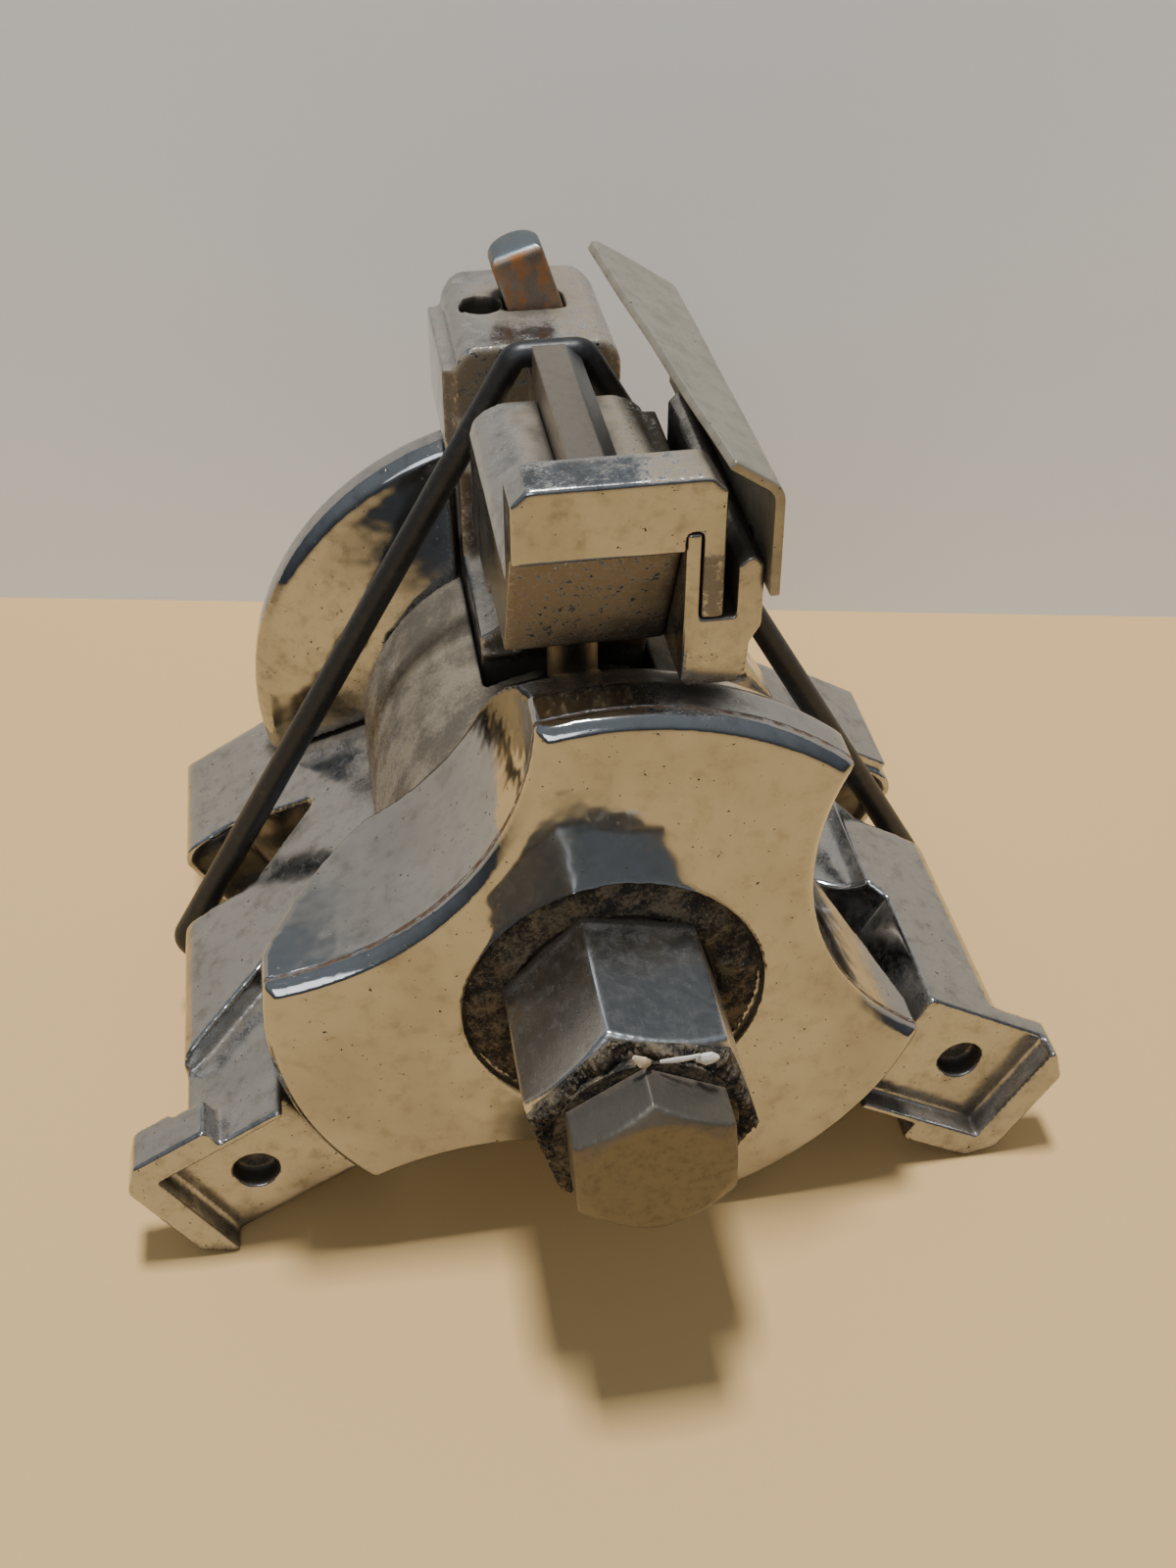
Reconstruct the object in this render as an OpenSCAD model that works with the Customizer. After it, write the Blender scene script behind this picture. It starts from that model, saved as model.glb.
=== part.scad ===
// Three-legged expanding ridge reamer for engine cylinders.
// The tool axis lies along Y: the wrench hexes are at -Y, the clamp flange is at +Y.
// It stands on the two lower feet and on the rim of the rear flange.

/* [Front hub] */
// Radius of the three lobes
hub_r = 33; // [31:0.5:33.5]
// Length of the hub along the axis
hub_len = 20; // [18:0.5:20]
// Distance from the axis to the middle of each scallop's arc
scallop_dist = 48; // [47:0.5:50]
// Radius of each scallop
scallop_r = 27.4; // [26:0.1:28]
// Clockwise turn of the lobes from the arms
lobe_turn = 14.3; // [10:0.1:18]

/* [Wrench hexes] */
// Across flats of the large driving hex, 3/4 inch
drive_af = 19.05; // [17:0.05:19.05]
// How far the driving hex stands out in front of the hub
drive_out = 15; // [12:0.5:18]
// Across flats of the small expanding hex, 9/16 inch
screw_af = 14.29; // [12.7:0.01:14.3]
// How far the small hex stands out in front of the hub
screw_out = 21.5; // [20:0.5:24]
// Shank radius of the expanding screw
screw_r = 5; // [4.5:0.1:5]

/* [Arms] */
// Width of each arm
arm_w = 16.8; // [16:0.2:16.8]
// Radius of the outer face of an arm between foot and ring slot
arm_r = 46; // [45:0.5:46.5]
// Radius of the outer face of an arm's rear block
tower_r = 45.5; // [44.5:0.5:45.5]
// Radius of the foot at the front of each lower arm
foot_r = 53; // [52:0.5:54]
// Radius of the top arm's foot, which stands higher
top_foot_r = 54.4; // [53.4:0.2:54.8]
// Where the arms end behind the hub's front face
arm_end = 66; // [65:0.5:68]
// How far each arm travels outwards
arm_travel = 6; // [4:0.5:6]

/* [Blade and guide bars] */
// Radius of the guide bars
bar_r = 48.4; // [48:0.1:49]
// Radius of the cutting edge, which stands out further than the bars
blade_r = 49.8; // [49.2:0.1:50.2]
// Width of the blade and of the guide bars
bar_w = 4.8; // [4:0.1:5]
// Length of the blade and of the guide bars
bar_len = 33.5; // [32:0.5:33.5]

/* [Rear flange] */
// Radius of the rear flange, which the tool stands on
flange_r = 32.5; // [32:0.1:32.5]

/* [Rubber ring] */
// Thickness of the rubber ring
ring_d = 2.8; // [2.5:0.1:2.8]
// Where the ring crosses the arms, behind the hub's front face
ring_y = 39; // [38:0.5:39.5]

/* [Hidden] */
$fn = 64;

// Turns of the three arms about the axis, the top one first
TOP = 0;
LEFT = -120;
RIGHT = 120;
TURNS = [TOP, LEFT, RIGHT];

run_gap = 0.06;        // radial clearance of a running fit
seat_gap = 0.04;       // clearance of pieces fixed to each other
slide_gap = 0.3;       // clearance beside an arm in its slots
eps = 0.01;
big = 200;

half_w = arm_w / 2;
drive_corner = drive_af / 2 / cos(30);
screw_corner = screw_af / 2 / cos(30);
drive_hex_turn = 13;   // turn of the large hex from point up
screw_hex_turn = -3;   // turn of the small hex from flat up
drive_shank_r = 9.4;
washer_t = 1;

recess_r = 14.5;       // round recess about the driving hex
recess_d = 1.2;
hub_edge = 1;          // chamfer round the hub's front face
hub_back_r = 25;       // radius of the hub's back, behind the slope of its lobes

core_end = 48.5;
core_r = 20.5;
slot_floor = 15.2;     // bottom of the arm slots
slot_start = 27;

pin_y = 38;
cone_contact_r = 6.8;  // cone radius under the push pins at rest
cone_small_r = 6.1;
cone_big_r = cone_contact_r + arm_travel + 0.1;
cone_small_y = pin_y - cone_contact_r + cone_small_r;
cone_tail = 3;
chamber_r = 13.2;
chamber_start = cone_small_y - arm_travel - 0.5;
chamber_end = 47.4;
key_r = 1.5;
key_bottom = 10.6;
key_len = 4;
push_pin_r = 3;
push_tip = 0.55;       // gap from a push pin's flat end to the cone
push_pin_end = 23.9;
guide_pin_r = 2.5;
guide_pin_y = 25.5;

flange_end = 60;
flange_rim = 54.4;     // front of the flange at its rim
flange_slot_r = 16.4;
flange_flat = 22;      // the flange is cut flat between the top and right arms
collar_r = 8;
collar_len = 4.2;

foot_front = 2;
foot_back = 7;
foot_inner = 34.5;
foot_chamfer = 2.55;
top_chamfer = 1.4;
panel_d = 2.6;         // depth of the panel framed by the foot's rim
rim_w = 3.2;
foot_hole_r = 2.3;
foot_hole = [-2, 43];
foot_hole_end = 6.9;
side_step = 2.4;       // how far the clockwise side is cut back near the foot
arm_inner = 15.7;
arm_rear_inner = 17.2;
slot_front = 34;
slot_back = 46.6;
slot_tip = [42.8, 27];
tower_side = 1.3;      // how far the rear block stands out on the counter-clockwise side

bar_x = 0.5;
bar_bottom = 43;
bar_start = foot_back + 0.05;
bevel = 1.6;
ring_seat = bar_r - 1.8; // the bars are notched at the rear, where the ring crosses them
clamp_y = 14;
clamp_start = 36.4;    // inner end of the clamp screws, sunk in their holes
clamp_r = 1.5;

follower_lean = 18;
follower_x = 0.9;
follower_y = 58.2;
follower_w = 5.6;
follower_d = 6.2;
follower_top = 6.4;    // stands this far out of the rear block
follower_len = 22;
follower_hole = [-4.6, 57];
follower_hole_r = 2.2;

rail_x = 9;            // clockwise edge of the top arm's foot
holder_top = 49.2;
holder_foot = [33.7, 41];
holder_low = 38.2;     // the holder's front slopes back below this
stem_low = 43.6;       // top of the holder's stem behind the foot
rail_low = 41.15;      // underside of the rail
holder_out = 12.4;
holder_tab = 46.6;
holder_len = 30;
plate_t = 0.9;
plate_x = 13.4;
plate_low = 43.5;
plate_bend_z = 52;
plate_bend_r = 2.4;
plate_front = 1.2;
plate_rear = 43;
plate_drop = 1.7;      // slope of the plate towards its rear end, degrees
rivet_r = 1.2;

ring_gap = 0.2;
ring_part = 0.03;      // half the parting gap between two lengths of the ring
ring_half = bar_w / 2;
ring_bend = ring_d / 2 + ring_gap;
ring_offset = ring_half * cos(30) + ring_seat / 2 + ring_bend;

// The whole tool is placed so that its box stands centred on the origin
front_end = -screw_out;
lift = flange_r;
centre_y = (front_end + arm_end) / 2;

module stood() translate([0, -centre_y, lift]) children();
module along_axis(y = 0) translate([0, y, 0]) rotate([-90, 0, 0]) children();
module at_turn(turn) rotate([0, turn, 0]) children();
module three() for (turn = TURNS) at_turn(turn) children();
module radial(y, z, x = 0) translate([x, y, z]) children();

// A profile given as [y, z] points, carried across x
module side_profile(points, x0, x1)
    translate([x0, 0, 0]) rotate([90, 0, 90]) linear_extrude(x1 - x0) polygon(points);

// A profile given as [x, z] points, carried along y
module front_profile(points, y0, y1)
    translate([0, y1, 0]) rotate([90, 0, 0]) linear_extrude(y1 - y0) polygon(points);

module tube_y(r, y0, y1) along_axis(y0) cylinder(r = r, h = y1 - y0);

module scallops(y0, y1)
    for (turn = TURNS)
        rotate([0, turn + lobe_turn - 60, 0])
            translate([0, 0, scallop_dist])
                tube_y(scallop_r, y0, y1);

// ---- fixed body: hub, drive hex, core, rear flange ----

module front_hub() color([0.80, 0.80, 0.80]) stood() difference() {
    along_axis() rotate_extrude() polygon([
        [0, 0], [hub_r - hub_edge, 0], [hub_r, hub_edge], [hub_r, 5.6], [hub_r - 0.8, 7.4],
        [hub_r - 3.1, 12.2], [hub_r - 5.6, 16], [hub_back_r, hub_len - 1.2], [hub_back_r - 1.6, hub_len],
        [0, hub_len]
    ]);
    scallops(-1, hub_len + 1);
    scallop_edges();
    tube_y(drive_shank_r + seat_gap, -1, hub_len + 1);
    tube_y(recess_r, -1, recess_d);
}

// Chamfer along the hub's three scalloped front edges
module scallop_edges()
    for (turn = TURNS)
        rotate([0, turn + lobe_turn - 60, 0])
            translate([0, -eps, scallop_dist])
                along_axis() cylinder(r1 = scallop_r + hub_edge, r2 = scallop_r, h = hub_edge);

module hex_bar(corner, y0, y1) along_axis(y0) cylinder(r = corner, h = y1 - y0, $fn = 6);

module drive_hex() color([0.70, 0.71, 0.72]) stood() difference() {
    union() {
        intersection() {
            rotate([0, drive_hex_turn, 0]) hex_bar(drive_corner, -drive_out, recess_d - seat_gap);
            along_axis(-drive_out) rotate_extrude() polygon([
                [0, 0], [drive_af / 2 - 0.6, 0], [drive_corner + 0.2, 1.4],
                [drive_corner + 0.2, drive_out + recess_d], [0, drive_out + recess_d]
            ]);
        }
        tube_y(drive_shank_r, 0, slot_start - seat_gap);
    }
    tube_y(screw_r + run_gap, -drive_out - 1, slot_start + 1);
}

module thrust_washer() color([0.45, 0.40, 0.34]) stood() difference() {
    tube_y(screw_af / 2 + 1.2, -drive_out - washer_t - seat_gap, -drive_out - seat_gap);
    tube_y(screw_r + run_gap, -drive_out - 3, -drive_out + 1);
}

module core_body() color([0.55, 0.53, 0.50]) stood() difference() {
    tube_y(core_r, hub_len + seat_gap, core_end);
    three() translate([-half_w - slide_gap, slot_start, slot_floor]) cube([arm_w + 2 * slide_gap, big, big]);
    tube_y(drive_shank_r + seat_gap, hub_len - 1, slot_start);
    tube_y(screw_r + run_gap, hub_len, core_end + 1);
    tube_y(chamber_r, chamber_start, core_end + 1);
    three() radial(pin_y, 10) cylinder(r = push_pin_r + run_gap, h = big);
    three() radial(guide_pin_y, 10.4) cylinder(r = guide_pin_r + run_gap, h = big);
    at_turn(60) radial(chamber_end - 4, key_bottom) cylinder(r = key_r + seat_gap, h = key_len + 0.1);
    flange_screw_places() cylinder(r = 2 + seat_gap, h = 9);
}

module flange_screw_places()
    for (turn = TURNS)
        rotate([0, turn + 60, 0]) translate([0, core_end - 8, 17]) along_axis() children();

module rear_flange() color([0.78, 0.78, 0.78]) stood() difference() {
    along_axis() rotate_extrude() polygon([
        [0, core_end + seat_gap], [14, core_end + seat_gap], [flange_r - 2.4, flange_rim - 0.4],
        [flange_r - 0.9, flange_rim], [flange_r, flange_rim + 1.2], [flange_r, flange_end - 2.2],
        [flange_r - 0.7, flange_end - 0.7], [flange_r - 2.2, flange_end], [0, flange_end]
    ]);
    three() translate([-half_w - slide_gap - 0.1, core_end - 1, flange_slot_r])
        cube([arm_w + 2 * slide_gap + 0.2, big, big]);
    at_turn(60) translate([-flange_r, core_end - 1, flange_flat]) cube([2 * flange_r, big, big]);
    tube_y(7.5 + seat_gap, core_end - 1, flange_end + 1);
    flange_screw_places() cylinder(r = 2.2, h = 60);
    flange_screw_places() translate([0, 0, flange_end - core_end + 8 - 4.2]) cylinder(r = 3.8, h = 20);
}

module rear_bush() color([0.72, 0.55, 0.30]) stood() difference() {
    tube_y(7.5, core_end + seat_gap, flange_end);
    tube_y(screw_r + run_gap, core_end - 1, flange_end + 1);
}

module flange_screws() color([0.20, 0.20, 0.21]) stood() difference() {
    union() {
        flange_screw_places() translate([0, 0, 1]) cylinder(r = 2, h = flange_end - core_end + 3);
        flange_screw_places() translate([0, 0, flange_end - core_end + 4]) cylinder(r = 3.5, h = 4);
    }
    flange_screw_places() translate([0, 0, flange_end - core_end + 5.5])
        cylinder(r = 1.73, h = 4, $fn = 6);
}

// ---- expanding screw and cone ----

module expanding_screw() color([0.48, 0.46, 0.43]) stood() difference() {
    union() {
        intersection() {
            rotate([0, 30 + screw_hex_turn, 0])
                hex_bar(screw_corner, front_end, -drive_out - washer_t - 2 * seat_gap);
            along_axis(front_end) rotate_extrude() polygon([
                [0, 0], [screw_af / 2 - 0.7, 0], [screw_corner + 0.2, 1.1],
                [screw_corner + 0.2, 10], [0, 10]
            ]);
        }
        tube_y(screw_r, -drive_out - 2, flange_end + collar_len + 0.6);
    }
    collar_cross_hole(1.2 + seat_gap);
}

module collar_cross_hole(r)
    translate([0, flange_end + 0.2 + collar_len / 2, 0]) cylinder(r = r, h = 30, center = true);

module screw_collar() color([0.30, 0.30, 0.31]) stood() difference() {
    tube_y(collar_r, flange_end + 0.2, flange_end + 0.2 + collar_len);
    tube_y(screw_r + seat_gap, flange_end - 1, flange_end + collar_len + 1);
    collar_cross_hole(1.2 + seat_gap);
}

module collar_pin() color([0.60, 0.60, 0.60]) stood()
    translate([0, flange_end + 0.2 + collar_len / 2, 0])
        cylinder(r = 1.2, h = 2 * collar_r - 1, center = true);

module expander_cone() color([0.62, 0.60, 0.55]) stood() difference() {
    cone_len = cone_big_r - cone_small_r;
    along_axis(cone_small_y) rotate_extrude() polygon([
        [screw_r + run_gap, 0], [cone_small_r, 0], [cone_big_r, cone_len],
        [cone_big_r, cone_len + cone_tail], [screw_r + run_gap, cone_len + cone_tail]
    ]);
    at_turn(60) translate([-key_r - 0.25, cone_small_y, key_bottom - 0.4]) cube([2 * key_r + 0.5, big, big]);
}

module cone_key() color([0.60, 0.60, 0.60]) stood()
    at_turn(60) radial(chamber_end - 4, key_bottom) cylinder(r = key_r, h = key_len);

// ---- arms ----

// Side outline of an arm as [y, z]: foot, outer face, ring slot, rear block
function arm_side(top_r) = [
    [foot_front, foot_inner], [foot_front, top_r], [foot_back, top_r], [foot_back, arm_r],
    [slot_front, arm_r], [slot_front + 0.6, 35], [slot_tip.x - 0.6, slot_tip.y],
    [slot_tip.x + 0.6, slot_tip.y], [slot_back + 0.4, 38], [slot_back, tower_r],
    [arm_end, tower_r], [arm_end, arm_rear_inner], [core_end - 0.2, arm_rear_inner],
    [core_end - 0.2, arm_inner], [31, arm_inner], [31, 19], [21, foot_inner]
];

module arm_block(top_r, chamfer) {
    arm_bar(top_r, chamfer);
    translate([-half_w - tower_side, slot_back + 0.8, 33.6])
        cube([tower_side + 1, arm_end - slot_back - 4, tower_r - 36]);
}

module arm_bar(top_r, chamfer) intersection() {
    side_profile(arm_side(top_r), -half_w, half_w);
    union() {
        // rounded long edges behind the foot
        front_profile([
            [-half_w, 0], [half_w, 0], [half_w, tower_r - 2.4], [half_w - 0.4, tower_r - 1.1],
            [half_w - 1.4, tower_r - 0.2], [half_w - 3.2, arm_r], [-half_w + 3.2, arm_r],
            [-half_w + 1.4, tower_r - 0.2], [-half_w + 0.4, tower_r - 1.1], [-half_w, tower_r - 2.4]
        ], foot_back, big);
        front_profile([
            [-half_w, 0], [half_w, 0], [half_w, top_r - chamfer], [half_w - chamfer, top_r],
            [-half_w + chamfer, top_r], [-half_w, top_r - chamfer]
        ], -big, foot_back);
    }
    // rounded rear corners
    union() {
        translate([-half_w, -big, 0]) cube([arm_w, big + arm_end - 4, big]);
        for (side = [-1, 1])
            translate([side * (half_w - 4), arm_end - 4, 0]) cylinder(r = 4, h = big);
        translate([4 - half_w, -big, 0]) cube([arm_w - 8, big + arm_end, big]);
    }
}

// Cuts that every arm has
module arm_cuts() {
    // cove under the counter-clockwise side face
    translate([-half_w - 1.6, 0, 27]) tube_y(5.6, 0, core_end - 1.5);
    translate([-half_w - 1, 0, 20]) cube([4.8, 31, 8]);
    // groove for the blade or guide bar
    translate([bar_x - bar_w / 2 - seat_gap, foot_back, bar_bottom - seat_gap])
        cube([bar_w + 2 * seat_gap, bar_len, 10]);
    // holes for the clamp screw and the two pins
    radial(clamp_y, foot_inner - 2, bar_x) cylinder(r = clamp_r + seat_gap, h = bar_bottom - foot_inner + 2);
    radial(pin_y, 0) cylinder(r = push_pin_r + seat_gap, h = push_pin_end + 0.1);
    radial(guide_pin_y, 0) cylinder(r = guide_pin_r + seat_gap, h = 36);
}

module lower_arm(turn) color([0.74, 0.74, 0.74]) stood() at_turn(turn) difference() {
    arm_block(foot_r, foot_chamfer);
    arm_cuts();
    // cut back on the clockwise side between the foot and the side face
    side_profile([
        [0, 33], [0, 41.8], [foot_back - 0.5, 41.8], [foot_back - 0.5, arm_r],
        [13.4, arm_r], [14.6, 43], [21.2, 34], [21.2, 33]
    ], half_w - side_step, half_w + 5);
    // panel framed by the rim on the outer and clockwise edges
    translate([-half_w - 1, foot_front - 1, foot_inner - 1])
        cube([arm_w + 1 - rim_w, panel_d + 1, foot_r - rim_w - foot_inner + 1]);
    radial(foot_front, foot_hole.y, foot_hole.x) along_axis() cylinder(r = foot_hole_r, h = foot_hole_end - foot_front);
}

module arm_left() lower_arm(LEFT);
module arm_right() lower_arm(RIGHT);

module arm_top() color([0.74, 0.74, 0.74]) stood() difference() {
    union() {
        arm_block(top_foot_r, top_chamfer);
        // rail that the plate holder hooks round
        front_profile([
            [half_w - 1.2, rail_low], [rail_x, rail_low], [rail_x, top_foot_r - top_chamfer],
            [rail_x - top_chamfer, top_foot_r], [half_w - 3.4, top_foot_r]
        ], foot_front, foot_back);
        front_profile([[half_w - 1.2, rail_low], [rail_x, rail_low], [rail_x, 45], [half_w - 1.2, 45]],
            foot_back - 1, foot_front + holder_len);
    }
    arm_cuts();
    // hollow under the foot's outer rim, sloping back as it goes inwards
    side_profile([[0, 33], [0, 47.6], [3.2, 47.6], [9.6, 34.6], [9.6, 33]], -half_w - 1, half_w - 2.6);
    // room for the holder's stem and foot
    translate([half_w - 2.7, 0, 33]) cube([1.5, foot_back + 0.2, holder_top + 0.2 - 33]);
    translate([half_w - 2.7, 0, 33]) cube([1.5, foot_front + holder_len, stem_low + 0.15 - 33]);
    translate([half_w - 2.7, 0, 33]) cube([6, foot_front + holder_len, rail_low - 33]);
    follower_pocket();
    radial(follower_hole.y, tower_r - 9, follower_hole.x) cylinder(r = follower_hole_r, h = 20);
}

module push_pin(turn) color([0.60, 0.60, 0.58]) stood() at_turn(turn)
    radial(pin_y, cone_contact_r + push_tip) {
        cylinder(r1 = 0.4, r2 = push_pin_r, h = push_pin_r - 0.4);
        translate([0, 0, push_pin_r - 0.4])
            cylinder(r = push_pin_r, h = push_pin_end - cone_contact_r - push_tip - push_pin_r + 0.4);
    }

module guide_pin(turn) color([0.60, 0.60, 0.58]) stood() at_turn(turn)
    radial(guide_pin_y, 11) cylinder(r = guide_pin_r, h = 24.8);

module push_pin_top() push_pin(TOP);
module push_pin_left() push_pin(LEFT);
module push_pin_right() push_pin(RIGHT);
module guide_pin_top() guide_pin(TOP);
module guide_pin_left() guide_pin(LEFT);
module guide_pin_right() guide_pin(RIGHT);

// ---- blade, guide bars and their clamp screws ----

module bar(turn, top) stood() at_turn(turn) difference() {
    front_profile([
        [bar_x - bar_w / 2, bar_bottom], [bar_x + bar_w / 2, bar_bottom],
        [bar_x + bar_w / 2, top - bevel], [bar_x + bar_w / 2 - bevel, top],
        [bar_x - bar_w / 2, top]
    ], bar_start, bar_start + bar_len - 0.1);
    translate([-bar_w, ring_y - ring_d / 2 - ring_gap, ring_seat]) cube([2 * bar_w, big, big]);
    translate([ring_half - 0.1, ring_y - ring_d / 2 - ring_gap, 0]) cube([bar_w, big, big]);
}

module cutter_blade() color([0.45, 0.44, 0.43]) bar(TOP, blade_r);
module guide_bar_left() color([0.45, 0.44, 0.43]) bar(LEFT, bar_r);
module guide_bar_right() color([0.45, 0.44, 0.43]) bar(RIGHT, bar_r);

// Screwed in from the arm's inner side, under the middle of the blade or bar
module clamp_screw(turn) color([0.22, 0.22, 0.23]) stood() at_turn(turn)
    radial(clamp_y, clamp_start, bar_x) difference() {
        cylinder(r = clamp_r, h = bar_bottom - 0.05 - clamp_start);
        translate([0, 0, -eps]) cylinder(r = 0.87, h = 1.6, $fn = 6);
    }

module clamp_screw_top() clamp_screw(TOP);
module clamp_screw_left() clamp_screw(LEFT);
module clamp_screw_right() clamp_screw(RIGHT);

// ---- depth follower in the top arm's rear block ----

module follower_frame()
    translate([follower_x, follower_y, tower_r]) rotate([0, -follower_lean, 0]) children();

// D-shaped section: flat towards the front, round at the back
module follower_section(grow = 0)
    intersection() {
        translate([0, -follower_d / 2 - grow]) translate([-10, 0]) square([20, 20]);
        union() {
            circle(r = follower_w / 2 + grow);
            translate([-follower_w / 2 - grow, -follower_d / 2 - grow])
                square([follower_w + 2 * grow, follower_d / 2 + grow]);
        }
    }

module follower_pocket()
    follower_frame() translate([0, 0, -follower_len + follower_top - 2.2])
        linear_extrude(60) follower_section(0.12);

module depth_follower() color([0.50, 0.38, 0.28]) stood()
    follower_frame() translate([0, 0, follower_top - follower_len])
        linear_extrude(follower_len) follower_section();

// Locks the follower from the bottom of the round hole beside it
module follower_screw() color([0.22, 0.22, 0.23]) stood()
    radial(follower_hole.y, tower_r - 8.9, follower_hole.x) difference() {
        cylinder(r = follower_hole_r - seat_gap, h = 3.2);
        translate([0, 0, 1.6]) cylinder(r = 1.15, h = 4, $fn = 6);
    }

// ---- spring guide plate and its holder ----

module plate_holder() color([0.70, 0.69, 0.66]) stood() difference() {
    front_profile([
        [half_w - 2.6, holder_foot.x + 0.6], [half_w - 2, holder_foot.x],
        [holder_out - 1.6, holder_foot.x], [holder_out - 1, holder_foot.x + 0.7],
        [holder_out - 1, holder_low], [holder_out, holder_low + 1.8],
        [holder_out, holder_tab - 0.8], [holder_out - 0.8, holder_tab], [holder_out - 1.4, holder_tab],
        [holder_out - 2.2, holder_tab - 0.8], [holder_out - 2.2, holder_foot.y],
        [half_w - 1.35, holder_foot.y], [half_w - 1.35, holder_top],
        [half_w - 2.6, holder_top]
    ], foot_front + 0.2, foot_front + holder_len);
    // the front of the hooked foot slopes back underneath
    side_profile([[0, 30], [0, holder_low], [foot_front + 0.2, holder_low],
        [foot_front + 1.2, holder_foot.x - eps], [foot_front + 1.2, 30]], 0, holder_out + 1);
    // behind the arm's foot the stem stays under the arm's outer face
    translate([half_w - 3, foot_back, stem_low]) cube([2, big, big]);
}

// Section of the bent spring sheet as [x, z], its flange reaching in to x = reach
function plate_outer(reach) = let (rise = 0.62) [
    [plate_x, plate_low],
    for (k = [0:6])
        let (a = 58 * k / 6)
            [plate_x - plate_bend_r + plate_bend_r * cos(a), plate_bend_z + plate_bend_r * sin(a)],
    [reach, plate_bend_z + plate_bend_r * sin(58)
        + rise * (plate_x - plate_bend_r + plate_bend_r * cos(58) - reach)]
];

function plate_inner(reach) = [
    for (p = plate_outer(reach))
        let (slope = p.y > plate_bend_z + 2 ? 1 : (p.y > plate_bend_z ? (p.y - plate_bend_z) / 2 : 0))
            [p.x - plate_t * (1 - 0.47 * slope), p.y - plate_t * 0.85 * slope]
];

function reversed(list) = [for (k = [len(list) - 1:-1:0]) list[k]];

module plate_slope()
    translate([0, plate_front, plate_bend_z]) rotate([-plate_drop, 0, 0])
        translate([0, -plate_front, -plate_bend_z]) children();

module guide_plate() color([0.58, 0.56, 0.50]) stood() plate_slope() difference() {
    front_profile(concat(plate_outer(4.6), reversed(plate_inner(4.6))), plate_front, plate_rear);
    // the flange is cut at an angle, so that it is narrow at the front
    translate([0, 0, plate_bend_z]) linear_extrude(20)
        polygon([[0, plate_front - 1], [9.2, plate_front - 1], [4.7, plate_rear - 2], [4.7, plate_rear + 1],
            [0, plate_rear + 1]]);
    plate_rivet_places() cylinder(r = rivet_r + seat_gap, h = 10, center = true);
}

module plate_rivet_places()
    for (y = [8, 26]) translate([plate_x, y, 45.2]) rotate([0, 90, 0]) children();

module plate_rivets() color([0.62, 0.60, 0.56]) stood() plate_slope()
    plate_rivet_places() {
        translate([0, 0, -plate_t]) cylinder(r = rivet_r, h = plate_t + eps);
        cylinder(r = 2, h = 0.6);
    }

// ---- rubber ring, in three lengths that part halfway along each straight run ----

module ring_third(turn) color([0.10, 0.10, 0.10]) stood() at_turn(turn) translate([0, ring_y, 0]) {
    translate([-ring_half, 0, ring_seat + ring_bend]) rotate([0, 90, 0])
        cylinder(r = ring_d / 2, h = 2 * ring_half);
    for (side = [-1, 1]) mirror([side < 0 ? 1 : 0, 0, 0]) {
        translate([ring_half, 0, ring_seat]) rotate([90, 0, 0]) rotate([0, 0, 30])
            rotate_extrude(angle = 60) translate([ring_bend, 0]) circle(r = ring_d / 2);
        mid = [ring_offset * cos(30), ring_offset / 2];
        start = [ring_half + ring_bend * cos(30), ring_seat + ring_bend / 2];
        translate([start.x, 0, start.y]) rotate([0, 150, 0])
            cylinder(r = ring_d / 2, h = norm(mid - start) - ring_part);
    }
}

module ring_top() ring_third(TOP);
module ring_left() ring_third(LEFT);
module ring_right() ring_third(RIGHT);

front_hub();
drive_hex();
thrust_washer();
expanding_screw();
screw_collar();
collar_pin();
core_body();
rear_flange();
rear_bush();
flange_screws();
expander_cone();
cone_key();
arm_top();
arm_left();
arm_right();
push_pin_top();
push_pin_left();
push_pin_right();
guide_pin_top();
guide_pin_left();
guide_pin_right();
cutter_blade();
guide_bar_left();
guide_bar_right();
clamp_screw_top();
clamp_screw_left();
clamp_screw_right();
depth_follower();
follower_screw();
plate_holder();
guide_plate();
plate_rivets();
ring_top();
ring_left();
ring_right();
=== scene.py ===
# %% [markdown]
# # A ridge reamer on its feet
# An expanding reamer cuts the worn ridge from the top of an engine cylinder. Three arms
# slide out of a chromed hub and are held in by one rubber ring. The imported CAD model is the
# frame of this scene: every piece below sits where the CAD says and rides on a CAD body.

import math

import bmesh
import bpy
import numpy as np
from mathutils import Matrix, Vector


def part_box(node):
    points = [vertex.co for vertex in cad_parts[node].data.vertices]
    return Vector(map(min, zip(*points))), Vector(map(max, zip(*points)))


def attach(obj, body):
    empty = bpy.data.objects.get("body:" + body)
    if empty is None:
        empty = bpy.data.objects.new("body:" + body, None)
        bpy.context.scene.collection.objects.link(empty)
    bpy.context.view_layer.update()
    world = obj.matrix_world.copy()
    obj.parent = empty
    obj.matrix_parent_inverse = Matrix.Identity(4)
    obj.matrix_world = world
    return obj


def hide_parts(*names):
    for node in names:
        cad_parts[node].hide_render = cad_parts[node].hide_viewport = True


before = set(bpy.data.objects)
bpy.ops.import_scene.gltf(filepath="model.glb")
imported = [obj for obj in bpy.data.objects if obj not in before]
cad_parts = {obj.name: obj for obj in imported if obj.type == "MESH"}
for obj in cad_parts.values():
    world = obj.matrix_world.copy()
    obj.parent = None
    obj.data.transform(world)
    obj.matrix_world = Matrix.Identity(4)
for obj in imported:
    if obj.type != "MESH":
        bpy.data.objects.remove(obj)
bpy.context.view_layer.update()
scene = bpy.context.scene
print("CAD nodes:", len(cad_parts))

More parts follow.
